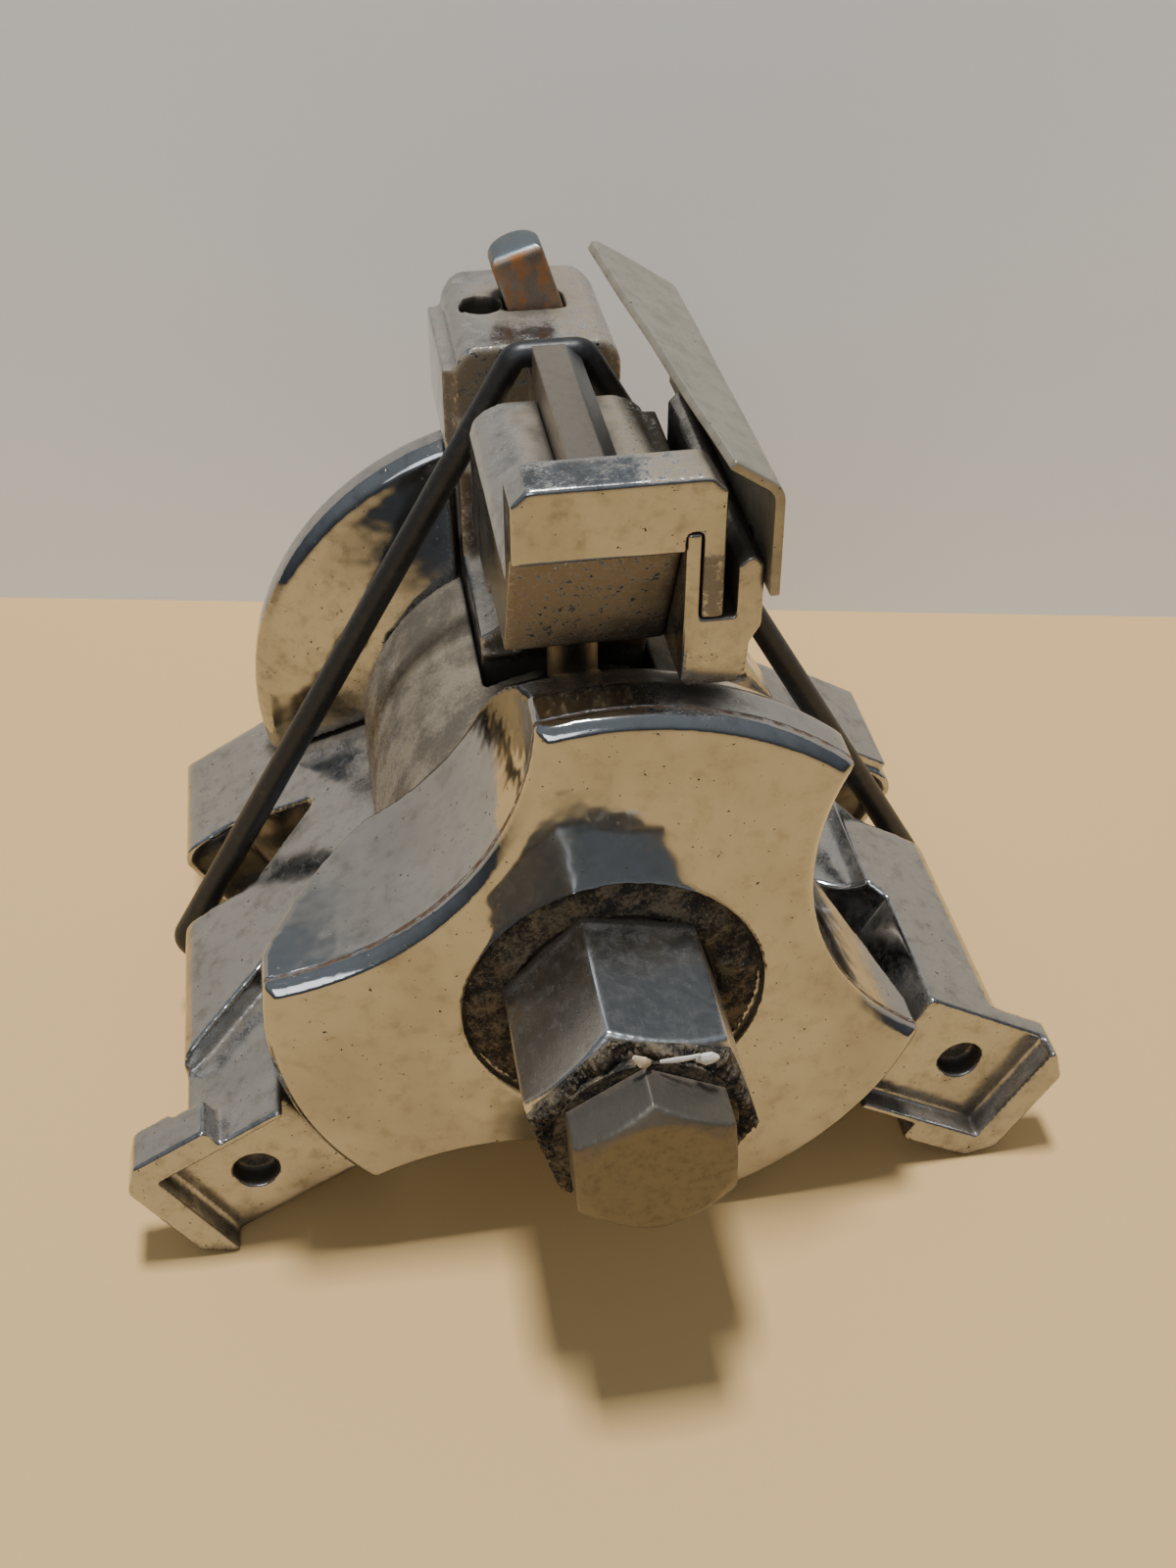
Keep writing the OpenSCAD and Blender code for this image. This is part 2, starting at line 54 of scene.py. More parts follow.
# %% [markdown]
# The tool's own axis lies along Y, and most pieces are easiest to describe round it, in
# millimetres: x to the side, y back from the hub's front face, z away from the axis. One
# function turns such points about the axis, by 0, -120 or 120 degrees for the three arms,
# and moves them into the frame, in metres.

# %% Tool millimetres to frame metres
MM = 0.001
TURNS = {"top": 0, "left": -120, "right": 120}


def middle(node):
    """The middle of a CAD node's box."""
    low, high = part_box(node)
    return (low + high) / 2


axis_place = Vector((middle("screw_collar").x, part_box("front_hub")[0].y, middle("screw_collar").z))
blade_top = (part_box("cutter_blade")[1].z - axis_place.z) / MM


def in_frame(points, turn=0):
    """Turns [..., 3] tool millimetres about the axis and moves them to the frame."""
    x, y, z = np.moveaxis(np.asarray(points, float) * MM, -1, 0)
    c, s = math.cos(math.radians(turn)), math.sin(math.radians(turn))
    return np.stack([x * c + z * s, y, z * c - x * s], -1) + np.array(axis_place)


print(f"axis {axis_place.z / MM:.1f} mm above the floor, blade top at radius {blade_top:.1f} mm")

# %% [markdown]
# The camera looks down on the front of the tool from a little to the left. It stands close,
# which makes the hexes at the front look large. The lens and the distance belong together.

# %% Camera
camera = bpy.data.objects.new("camera", bpy.data.cameras.new("camera"))
scene.collection.objects.link(camera)
camera.location = in_frame([-22.52, -121.47, 124.61])
camera.rotation_euler = (math.radians(51.5), 0, math.radians(-9.3))
camera.data.lens = 42.1
camera.data.clip_start = 0.005
scene.camera = camera
print("camera", [round(v, 4) for v in camera.location])

# %% [markdown]
# Shader nodes are wired as Python expressions. A Wire holds one output socket: the operators
# add Math nodes, and `node` adds any other node, with its settings first and its inputs next.

# %% A wire between shader nodes
class Wire:
    """One output socket in a node tree, used in expressions such as 1 - mask * 0.5."""

    def __init__(self, tree, socket=None):
        self.tree = tree
        self.socket = socket

    def node(self, kind, settings=None, inputs=None, out=0):
        """Adds a node, sets its settings, then its inputs, and gives the wire of one output."""
        made = self.tree.nodes.new(kind)
        for name, value in (settings or {}).items():
            setattr(made, name, value)
        for place, value in (inputs or {}).items():
            if isinstance(value, Wire):
                self.tree.links.new(value.socket, made.inputs[place])
            else:
                made.inputs[place].default_value = value
        return Wire(self.tree, made.outputs[out] if len(made.outputs) else None)

    def math(self, operation, a, b):
        return self.node("ShaderNodeMath", {"operation": operation}, {0: a, 1: b})

    def __add__(self, other):
        return self.math("ADD", self, other)

    def __sub__(self, other):
        return self.math("SUBTRACT", self, other)

    def __rsub__(self, other):
        return self.math("SUBTRACT", other, self)

    def __mul__(self, other):
        return self.math("MULTIPLY", self, other)

    __radd__ = __add__
    __rmul__ = __mul__

    def step(self, low, high):
        """0 below low, 1 above high and a smooth rise between."""
        smooth = {"interpolation_type": "SMOOTHSTEP"}
        return self.node("ShaderNodeMapRange", smooth, {0: self, 1: low, 2: high})

    def mix(self, a, b):
        """The colour a where this wire is 0 and b where it is 1."""
        return self.node("ShaderNodeMix", {"data_type": "RGBA"}, {0: self, 6: a, 7: b}, 2)

    def stretched(self, x, y, z):
        return self.node("ShaderNodeVectorMath", {"operation": "MULTIPLY"}, {0: self, 1: (x, y, z)})

    def noise(self, scale, detail=3.0, roughness=0.55):
        """Cloudy noise about 0.5; scale is in lumps for each millimetre."""
        return self.node("ShaderNodeTexNoise", None,
                         {"Vector": self, "Scale": scale, "Detail": detail, "Roughness": roughness})

    def part(self, letter):
        return self.node("ShaderNodeSeparateXYZ", None, {0: self}, "XYZ".index(letter))

    def bump(self, height, strength=0.5):
        """A normal from this wire as a height, full scale height millimetres."""
        return self.node("ShaderNodeBump", None,
                         {"Height": self, "Distance": height * MM, "Strength": strength})


def material(name, recipe, **constants):
    """A material whose recipe turns Object coordinates in millimetres into shader inputs."""
    made = bpy.data.materials.new(name)
    made.use_nodes = True
    made.node_tree.nodes.clear()
    start = Wire(made.node_tree)
    place = start.node("ShaderNodeTexCoord", None, None, "Object")
    mm = start.node("ShaderNodeVectorMath", {"operation": "SCALE"}, {0: place, "Scale": 1000.0})
    shader = start.node("ShaderNodeBsdfPrincipled", None, {**recipe(mm), **constants})
    start.node("ShaderNodeOutputMaterial", None, {"Surface": shader})
    return made


def colour(red, green, blue):
    return (red, green, blue, 1.0)


print("Wire is ready")

# %% [markdown]
# Dirt settles in two ways: it packs into corners, which ambient occlusion finds, and dust
# lies on faces that look up, which the normal's height tells. Noise is added to both, so that
# no edge of dirt follows the geometry too neatly.

# %% Where dirt collects
def corners(mm, reach):
    """1 in tight corners, 0 on open faces."""
    return 1 - mm.node("ShaderNodeAmbientOcclusion", {"samples": 6}, {"Distance": reach * MM}, "AO")


def facing(mm, letter="Z"):
    """How far a face looks along one axis, from -1 to 1."""
    return mm.node("ShaderNodeNewGeometry", None, None, "Normal").part(letter)


def dirt(mm, reach=5.0, packed=1.5, settled=0.35, less=0.42):
    """Packed corners plus settled dust, roughened by coarse and fine noise."""
    rough = mm.noise(0.5, 4) * 0.7 + mm.noise(4.0, 3) * 0.5 - 0.6
    thick = corners(mm, reach) * packed + facing(mm).step(0.15, 0.95) * settled
    return (thick + rough - less).step(0.0, 0.55)


print("dirt masks are ready")

# %% [markdown]
# The castings are chromed and then polished. Old chrome is a mirror with a haze of fine
# scratches, clouds of fingerprints, dark pits where the plating has lifted, and grey-brown
# dust. Haze and clouds go into the roughness, pits into colour and bump, dust over all. In
# the deepest corners the dust goes near-black: partly packed grime, partly painted shade.

# %% Chrome finishes
CHROME = colour(0.45, 0.45, 0.445)
CHROME_DIM = colour(0.23, 0.225, 0.21)
DUST = colour(0.16, 0.13, 0.09)
PALE_DUST = colour(0.30, 0.25, 0.18)
GRIME_AND_SHADE = colour(0.035, 0.028, 0.02)
PIT = colour(0.05, 0.04, 0.035)


def chrome(mm, settled=0.35, less=0.42, haze=0.10, extra=0.0, wear=0.75):
    """Here extra is more dirt, as a number or a wire, laid over the settled and packed dirt,
    haze is the roughness of the worn patches, and wear is how much duller they are."""
    cloud = mm.noise(0.07, 4).step(0.42, 0.68)
    mottle = mm.noise(0.55, 5, 0.65)
    pits = mm.noise(1.9, 2).step(0.705, 0.75)
    added = mm.noise(1.4, 5, 0.7).step(0.30, 0.62) * extra
    over = (dirt(mm, settled=settled, less=less) + added).step(0.0, 1.0)
    worn = mottle.step(0.46, 0.78) * wear + cloud * 0.35
    bare = pits.mix(worn.mix(CHROME, CHROME_DIM), PIT)
    fine = mm.noise(7.0, 3)
    # deep turns the dust near-black where ambient occlusion finds corners within 7 mm: partly packed
    # grime, partly painted corner shade
    deep = (corners(mm, 7.0) * 1.6 + mm.noise(0.4, 4) - 0.75).step(0.0, 0.6)
    dust = deep.mix((fine * 0.9).mix(DUST, PALE_DUST), GRIME_AND_SHADE)
    return {
        "Base Color": over.mix(bare, dust),
        "Metallic": 1 - over * 0.85,
        "Roughness": cloud * 0.10 + mottle * haze + over * 0.55 + pits * 0.4 + 0.035,
        "Normal": (mm.noise(0.16, 2) * 5.0 + fine * 0.05 + over * fine * 0.5 - pits * 0.6).bump(0.06, 0.5),
    }


HUB_FRONT = axis_place.y / MM
GROOVE_BACK = 2.15
FOOT_LOW, FOOT_HIGH = 78.5, 80.5


def hub_chrome(mm):
    """Chrome with the shallow groove that runs round the hub behind its front edge."""
    made = chrome(mm, settled=0.42, less=0.50, haze=0.10, wear=0.42)
    depth = mm.part("Y") + mm.noise(0.35, 3) * 0.5 - (HUB_FRONT + GROOVE_BACK)
    groove = 1 - (depth * depth).step(0.01, 0.10)
    brown = groove * mm.noise(0.9, 4).step(0.36, 0.56)
    made["Base Color"] = brown.mix(made["Base Color"], colour(0.12, 0.065, 0.035))
    made["Roughness"] = made["Roughness"] + brown * 0.35
    made["Metallic"] = made["Metallic"] - brown * 0.5
    made["Normal"] = mm.node("ShaderNodeBump", None, {
        "Height": 1 - groove, "Distance": 0.35 * MM, "Strength": 0.9, "Normal": made["Normal"]})
    return made


def top_arm_chrome(mm):
    """A thick lane of dust lies beside the blade, and dust fills the hollow of the foot."""
    up = facing(mm).step(0.4, 0.9)
    lane = up * mm.part("X").step(1.5, 3.5)
    hollow = (0 - facing(mm, "Y")).step(0.2, 0.6) * (1 - mm.part("Z").step(FOOT_LOW, FOOT_HIGH))
    return chrome(mm, settled=0.45, less=0.36, haze=0.16, extra=lane * 0.95 + hollow * 1.3 + 0.12)


def core_grime(mm):
    """Oily dust: dark damp patches and coarse grains over what is left of the chrome."""
    made = chrome(mm, settled=0.8, less=0.12, haze=0.25, extra=0.75)
    grains = mm.noise(2.6, 4, 0.7)
    damp = (mm.noise(0.2, 4) * 0.8 + grains * 0.4).step(0.46, 0.72)
    made["Base Color"] = (damp * 0.75).mix(made["Base Color"], colour(0.05, 0.042, 0.03))
    made["Normal"] = (mm.noise(0.16, 2) * 2.0 + grains).bump(0.2, 0.6)
    return made


def chrome_finish(name, **looks):
    return material(name, lambda mm: chrome(mm, **looks))


hub_finish = material("hub_chrome", hub_chrome)
arm_finish = chrome_finish("arm_chrome", settled=0.40, less=0.42, haze=0.20, extra=0.12)
top_finish = material("top_arm_chrome", top_arm_chrome)
flange_finish = chrome_finish("flange_chrome", settled=0.15, less=0.52, haze=0.10)
core_finish = material("core_grime", core_grime)
holder_finish = chrome_finish("plated_strip", settled=0.35, less=0.36, haze=0.22, extra=0.15)
print("chrome finishes made")

# %% [markdown]
# The hexes are bare steel. A wrench has polished their flats, while grease and iron dust
# darken the corners, and brown stains show where oil has dried. Only the depth follower, which
# is never oiled, has gone orange with rust.

# %% Steel finishes
STEEL = colour(0.47, 0.45, 0.42)
STAIN = colour(0.17, 0.13, 0.09)


def steel(mm, shine=0.22, tint=STEEL, stain=STAIN, less=0.40):
    """Here shine is the roughness where it is clean, and less is how much dirt is held back."""
    mottle = mm.noise(0.8, 6, 0.7)
    streaks = mm.stretched(1.0, 0.12, 1.0).noise(4.0, 3)
    over = dirt(mm, reach=3.0, packed=1.4, settled=0.15, less=less)
    worn = mottle.step(0.46, 0.74) * 0.6
    return {
        "Base Color": over.mix(worn.mix(tint, stain), colour(0.11, 0.08, 0.055)),
        "Metallic": 1 - over * 0.8 - worn * 0.15,
        "Roughness": mottle * 0.22 + streaks * 0.08 + over * 0.4 + shine - 0.12,
        "Normal": (mottle * 0.6 + streaks * 0.2 + mm.noise(6.0, 3) * 0.3).bump(0.09, 0.45),
    }


def blade_steel(mm):
    """Brown stained flanks with a blue-grey ground bevel along the cutting edge."""
    made = steel(mm, 0.34, colour(0.34, 0.30, 0.25), colour(0.15, 0.11, 0.08), less=0.30)
    ground = (facing(mm, "X") + facing(mm)).step(1.15, 1.35)
    made["Base Color"] = (ground * 0.85).mix(made["Base Color"], colour(0.17, 0.19, 0.21))
    return made


def follower_steel(mm):
    """Orange rust on the flat front and blue-grey steel where the top is rubbed."""
    made = steel(mm, 0.42, colour(0.30, 0.26, 0.22), colour(0.14, 0.10, 0.07), less=0.45)
    front = (0 - facing(mm, "Y")).step(0.5, 0.8)
    rust = front * mm.stretched(1.0, 1.0, 0.5).noise(0.7, 5, 0.7).step(0.42, 0.62)
    top = facing(mm).step(0.55, 0.9)
    sides = rust.mix(made["Base Color"], colour(0.36, 0.15, 0.045))
    made["Base Color"] = top.mix(sides, colour(0.17, 0.20, 0.22))
    made["Metallic"] = made["Metallic"] - rust * 0.7
    return made


def spring_sheet(mm):
    """Dull spring steel, scuffed along its length and speckled with oil."""
    scuffs = mm.stretched(1.0, 0.06, 1.0).noise(3.0, 4)
    mottle = mm.noise(0.35, 5, 0.6)
    specks = mm.noise(2.4, 2).step(0.66, 0.72)
    base = mottle.step(0.35, 0.7).mix(colour(0.36, 0.33, 0.26), colour(0.26, 0.235, 0.185))
    return {
        "Base Color": (specks * 0.8).mix(base, colour(0.06, 0.05, 0.04)),
        "Metallic": 0.75 - mottle * 0.3,
        "Roughness": scuffs * 0.25 + mottle * 0.15 + 0.22,
        "Normal": (scuffs + mottle).bump(0.05, 0.5),
    }


def steel_finish(name, shine, **looks):
    return material(name, lambda mm: steel(mm, shine, **looks))


drive_finish = steel_finish("hex_steel", 0.22, tint=colour(0.58, 0.58, 0.57),
                            stain=colour(0.22, 0.20, 0.17), less=0.50)
screw_finish = steel_finish("screw_steel", 0.48, tint=colour(0.19, 0.175, 0.145),
                            stain=colour(0.09, 0.075, 0.055), less=0.40)
blade_finish = material("blade_steel", blade_steel)
bar_finish = steel_finish("bar_steel", 0.34, less=0.30)
follower_finish = material("follower_steel", follower_steel)
sheet_finish = material("spring_sheet", spring_sheet)
pin_finish = steel_finish("pin_steel", 0.40, tint=colour(0.16, 0.145, 0.12), less=0.05)
print("steel finishes made")

# %% [markdown]
# The rest are small: black rubber with a little dust, blackened screws, a bronze bush, the
# crust of grease and dust round the hexes, and the chips caught in it.

# %% Rubber, screws, bronze, crust and chips
def rubber(mm):
    dust = mm.noise(1.2, 4).step(0.5, 0.8) * 0.35
    return {
        "Base Color": dust.mix(colour(0.012, 0.013, 0.014), colour(0.07, 0.065, 0.055)),
        "Roughness": mm.noise(2.0, 3) * 0.25 + 0.30,
        "Normal": mm.noise(3.0, 3).bump(0.03, 0.4),
    }


def black_oxide(mm):
    over = dirt(mm, reach=2.0)
    return {
        "Base Color": over.mix(colour(0.03, 0.03, 0.032), DUST),
        "Metallic": 0.8 - over * 0.7,
        "Roughness": mm.noise(3.0, 3) * 0.3 + 0.3,
    }


def bronze(mm):
    cloud = mm.noise(0.8, 5).step(0.35, 0.7)
    return {
        "Base Color": cloud.mix(colour(0.52, 0.33, 0.16), colour(0.22, 0.14, 0.08)),
        "Roughness": mm.noise(2.0, 3) * 0.3 + 0.25,
        "Normal": mm.noise(4.0, 3).bump(0.03, 0.4),
    }


def crust(mm):
    lumps = mm.noise(2.2, 5, 0.7)
    dry = (lumps + mm.noise(0.5, 3) - 0.5).step(0.36, 0.72)
    base = dry.mix(colour(0.012, 0.010, 0.008), colour(0.17, 0.135, 0.085))
    grit = mm.noise(6.0, 2).step(0.66, 0.72)
    return {
        "Base Color": grit.mix(base, colour(0.42, 0.35, 0.24)),
        "Roughness": 0.95 - lumps * 0.2,
        "Normal": (lumps + mm.noise(9.0, 3) * 0.5).bump(0.35, 0.8),
    }


def wood(mm):
    grain = mm.stretched(1.0, 1.0, 0.3).noise(4.0, 4)
    return {
        "Base Color": grain.mix(colour(0.72, 0.62, 0.44), colour(0.46, 0.34, 0.19)),
        "Roughness": grain * 0.2 + 0.55,
        "Normal": grain.bump(0.05, 0.5),
    }


def pale_wood(mm):
    return {
        "Base Color": mm.noise(2.0, 4).mix(colour(0.78, 0.76, 0.70), colour(0.55, 0.50, 0.42)),
        "Roughness": 0.7,
    }


rubber_finish = material("ring_rubber", rubber)
screw_black = material("black_oxide", black_oxide)
bronze_finish = material("bearing_bronze", bronze, Metallic=1.0)
crust_finish = material("grease_crust", crust)
wood_finish = material("wood_chip", wood)
pale_finish = material("pale_chip", pale_wood)
print("small finishes made")

# %% [markdown]
# The castings' shapes come from the CAD, but its edges are knife sharp, and polished chrome
# lives on soft edges that catch the light. A bevel trips over the many small faces where
# cuts meet. So a copy of each node is merged, rebuilt as even voxels and smoothed a few
# times, as if it were tumbled: every edge gets the same small radius.

# %% Tumbled copies of CAD nodes
def merged_copy(node, name):
    """A copy of a CAD node with its loose triangles joined."""
    copy = bpy.data.objects.new(name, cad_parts[node].data.copy())
    scene.collection.objects.link(copy)
    shape = bmesh.new()
    shape.from_mesh(copy.data)
    bmesh.ops.remove_doubles(shape, verts=shape.verts, dist=2e-6)
    shape.to_mesh(copy.data)
    shape.free()
    return copy


def finished(piece, body, finish):
    """Gives a piece its finish and the body that it rides on."""
    piece.data.materials.clear()
    piece.data.materials.append(finish)
    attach(piece, body)


def tumbled(node, body, finish, voxel, rounds):
    """Replaces a node by its copy in voxels of so many mm, smoothed for so many rounds."""
    piece = merged_copy(node, node + "_tumbled")
    grain = piece.modifiers.new("grain", "REMESH")
    grain.mode = "VOXEL"
    grain.voxel_size = voxel * MM
    grain.use_smooth_shade = True
    soft = piece.modifiers.new("soft", "SMOOTH")
    soft.iterations = rounds
    graph = bpy.context.evaluated_depsgraph_get()
    piece.data = bpy.data.meshes.new_from_object(piece.evaluated_get(graph))
    piece.modifiers.clear()
    finished(piece, body, finish)
    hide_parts(node)
    print(f"{piece.name}: {len(piece.data.polygons)} faces")


tumbled("front_hub", "core", hub_finish, voxel=0.34, rounds=5)
tumbled("rear_flange", "core", flange_finish, voxel=0.36, rounds=6)
tumbled("core_body", "core", core_finish, voxel=0.42, rounds=3)
for arm in TURNS:
    finish = top_finish if arm == "top" else arm_finish
    tumbled("arm_" + arm, "arm_" + arm, finish, voxel=0.30, rounds=5)
tumbled("drive_hex", "core", drive_finish, voxel=0.22, rounds=4)
tumbled("expanding_screw", "screw", screw_finish, voxel=0.22, rounds=4)
tumbled("plate_holder", "arm_top", holder_finish, voxel=0.17, rounds=3)

# %% [markdown]
# New pieces are surfaces through a grid of points. Rows and columns may each close on
# themselves, as they do on a tube, and a row that shrinks to one point closes an end.

# %% A surface through a grid of points
def surface(name, points, around=True, along=False):
    """Joins a [rows, columns, 3] grid of points with quads; around closes the columns and
    along closes the rows. Points in one place are merged and the faces turned outwards."""
    rows, columns = points.shape[:2]
    row = np.arange(rows if along else rows - 1)[:, None]
    column = np.arange(columns if around else columns - 1)[None, :]
    next_row, next_column = (row + 1) % rows, (column + 1) % columns
    quads = np.stack([row * columns + column, row * columns + next_column,
                      next_row * columns + next_column, next_row * columns + column], -1)
    mesh = bpy.data.meshes.new(name)
    mesh.from_pydata(points.reshape(-1, 3).tolist(), [], quads.reshape(-1, 4).tolist())
    shape = bmesh.new()
    shape.from_mesh(mesh)
    bmesh.ops.remove_doubles(shape, verts=shape.verts, dist=1e-6)
    bmesh.ops.dissolve_degenerate(shape, edges=shape.edges, dist=1e-7)
    bmesh.ops.recalc_face_normals(shape, faces=shape.faces)
    shape.to_mesh(mesh)
    shape.free()
    mesh.shade_smooth()
    mesh.set_sharp_from_angle(angle=math.radians(35))
    piece = bpy.data.objects.new(name, mesh)
    scene.collection.objects.link(piece)
    return piece


def closed_ends(rows):
    """Adds a first and a last row that shrink to the middle of the rows beside them."""
    first, last = rows[:1], rows[-1:]
    return np.concatenate([first * 0 + first.mean(1, keepdims=True), rows,
                           last * 0 + last.mean(1, keepdims=True)])


def round_corners(corners_xy, radius, steps=5):
    """A closed outline with each corner replaced by a quadratic curve between two points
    that lie radius away from it along its sides: (1-t)^2 a + 2t(1-t) corner + t^2 b."""
    here = np.asarray(corners_xy, float)
    before, after = np.roll(here, 1, 0) - here, np.roll(here, -1, 0) - here
    a = here + before * (radius / np.linalg.norm(before, axis=1, keepdims=True))
    b = here + after * (radius / np.linalg.norm(after, axis=1, keepdims=True))
    t = np.linspace(0, 1, steps)[None, :, None]
    a, here, b = a[:, None], here[:, None], b[:, None]
    return ((1 - t) ** 2 * a + 2 * t * (1 - t) * here + t ** 2 * b).reshape(-1, 2)


def swollen(count, seed, waves=7):
    """Smooth closed noise about 0: the sum over k = 2, 3, ... of s / sqrt(k) sin(k turn + p)
    with random sizes s and phases p, halved. It gives one value for each of count turns."""
    random = np.random.default_rng(seed)
    turn = np.linspace(0, 2 * np.pi, count, endpoint=False)
    wave = np.arange(2, waves + 2)[:, None]
    phase = random.uniform(0, 2 * np.pi, (waves, 1))
    size = random.uniform(0.4, 1.0, (waves, 1)) / wave ** 0.5
    return (np.sin(turn * wave + phase) * size).sum(0) / 2


print("surface helpers are ready")

# %% [markdown]
# The rubber ring runs over the blade and the two guide bars and straight from arm to arm.
# When the arms move out, each straight run grows by about 10 mm. So each arm carries its own
# third of the ring, and the thirds slide into each other: one end of each is a hair thinner
# and hides inside the next. The path is a line, an arc over the bar's corner, and a line.
# SPARE is how far each third reaches past the middle of a run.

# %% The rubber ring
RING_RADIUS = (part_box("ring_top")[1].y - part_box("ring_top")[0].y) / 2 / MM
BEND = RING_RADIUS + 0.2
HALF_BAR = 2.4
SPARE = 5.6
THINNED = SPARE + 0.6
HAIR = 0.04
THICKER = 0.07
SLANT = np.array([math.cos(math.radians(30)), math.sin(math.radians(30))])
ring_y = (middle("ring_top").y - axis_place.y) / MM
ring_seat = (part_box("ring_top")[1].z - axis_place.z) / MM - BEND - RING_RADIUS
mid_run = HALF_BAR * SLANT[0] + ring_seat * SLANT[1] + BEND


def half_ring():
    """[n, 2] points (x, z) from the middle of the bar, round its corner and down the run to
    SPARE past the run's middle, and how far past the middle each point is."""
    flat_x = np.linspace(0, HALF_BAR, 4)[:-1]
    flat = np.stack([flat_x, np.full(len(flat_x), ring_seat + BEND)], -1)
    angle = np.radians(np.linspace(90, 30, 12))
    arc = np.stack([HALF_BAR + BEND * np.cos(angle), ring_seat + BEND * np.sin(angle)], -1)
    length = np.linalg.norm(mid_run * SLANT - arc[-1])
    run = np.linspace(0, length + SPARE, 60)[1:]
    down = np.array([SLANT[1], -SLANT[0]])
    path = np.concatenate([flat, arc, arc[-1] + down * run[:, None]])
    return path, np.concatenate([np.full(len(flat) + len(arc), -length), run - length])


def ring_third(name, turn, stretch):
    """A tube round the path: each point of it is the path plus radius times cos(a) across
    and sin(a) along the tool's axis. The rubber is drawn thinner near the top arm: the
    radius goes evenly from 1 + stretch of the CAD's at the bar to the CAD's at mid run."""
    half, past = half_ring()
    path = np.concatenate([(half * [-1, 1])[:0:-1], half])
    both = np.concatenate([past[:0:-1], past])
    last = np.arange(len(path)) >= len(half) - 1
    inside = last & (both > -THINNED)
    ahead = np.gradient(path, axis=0)
    ahead /= np.linalg.norm(ahead, axis=1, keepdims=True)
    across = np.stack([-ahead[:, 1], ahead[:, 0]], -1)
    drawn = RING_RADIUS * (1 + stretch * np.clip(both / both.min(), -0.3, 1))
    radius = (drawn - HAIR * inside)[:, None]
    a = np.linspace(0, 2 * np.pi, 24, endpoint=False)
    x = path[:, None, 0] + radius * np.cos(a) * across[:, None, 0]
    z = path[:, None, 1] + radius * np.cos(a) * across[:, None, 1]
    y = ring_y + radius * np.sin(a)
    return surface(name, in_frame(closed_ends(np.stack([x, y, z], -1)), turn))


for arm, turn in TURNS.items():
    third = ring_third("ring_run_" + arm, turn, -THICKER if arm == "top" else THICKER)
    finished(third, "arm_" + arm, rubber_finish)
    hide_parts("ring_" + arm)
print(f"ring runs {mid_run:.1f} mm from the axis at y = {ring_y:.1f} mm")

# %% [markdown]
# The cutter blade and the guide bars are ground bars: one rounded outline, carried along
# the arm, with a small chamfer at each end.

# %% Blade and guide bars
BAR_TOP = {"top": blade_top, "left": 48.4, "right": 48.4}
BAR_LEFT, BAR_RIGHT, BAR_LOW = -1.9, 2.9, 43.0
TONGUE_RIGHT = 2.3
BAR_BEVEL = 1.6


def ground_bar(name, arm):
    """The outline (x, z) carried along y, and drawn in a little at both ends and before the
    notch. From the notch on, where the ring crosses, a lower and narrower one takes over."""
    front, back = ((edge.y - axis_place.y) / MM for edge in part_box("cutter_blade"))
    notch = ring_y - BEND
    top, shoulder = BAR_TOP[arm], BAR_TOP[arm] - BAR_BEVEL
    full = round_corners([(BAR_LEFT, BAR_LOW), (BAR_RIGHT, BAR_LOW), (BAR_RIGHT, shoulder),
                          (BAR_RIGHT - BAR_BEVEL, top), (BAR_LEFT, top)], 0.22)
    tongue = round_corners([(BAR_LEFT, BAR_LOW), (TONGUE_RIGHT, BAR_LOW), (TONGUE_RIGHT, ring_seat - 0.4),
                            (TONGUE_RIGHT - 0.4, ring_seat), (BAR_LEFT, ring_seat)], 0.22)
    full_y = [front, front + 0.08, front + 0.3, *np.linspace(front + 3, notch - 2, 9),
              notch - 0.3, notch - 0.08, notch]
    tongue_y = [notch, notch + 1, back - 0.3, back]
    y = np.array(full_y + tongue_y)
    shrink = np.ones((len(y), 1, 1))
    shrink[[0, 1, 13, 14, 18], 0, 0] = 0.94, 0.98, 0.98, 0.95, 0.96
    outline = np.stack([full] * len(full_y) + [tongue] * len(tongue_y))
    centre = outline.mean(1, keepdims=True)
    xz = centre + (outline - centre) * shrink
    points = np.stack([xz[..., 0], np.broadcast_to(y[:, None], xz.shape[:2]), xz[..., 1]], -1)
    return surface(name, in_frame(closed_ends(points), TURNS[arm]))


for arm, node in (("top", "cutter_blade"), ("left", "guide_bar_left"), ("right", "guide_bar_right")):
    bar = ground_bar(node + "_ground", arm)
    finished(bar, "arm_" + arm, blade_finish if arm == "top" else bar_finish)
    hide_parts(node)
print("blade and bars made")

# %% [markdown]
# The depth follower is a short round-backed pin with a flat front, pushed up through the
# rear block at a lean. Its top is domed and rubbed smooth by cylinder walls.

# %% Depth follower
LEAN = math.radians(18)
BLOCK_TOP = 45.5
PIN_X, PIN_Y = 0.9, 58.2
PIN_WIDTH, PIN_LENGTH = 5.6, 22.0
PIN_FRONT = 3.1
ABOVE_BLOCK = 6.4
DOME = 0.9


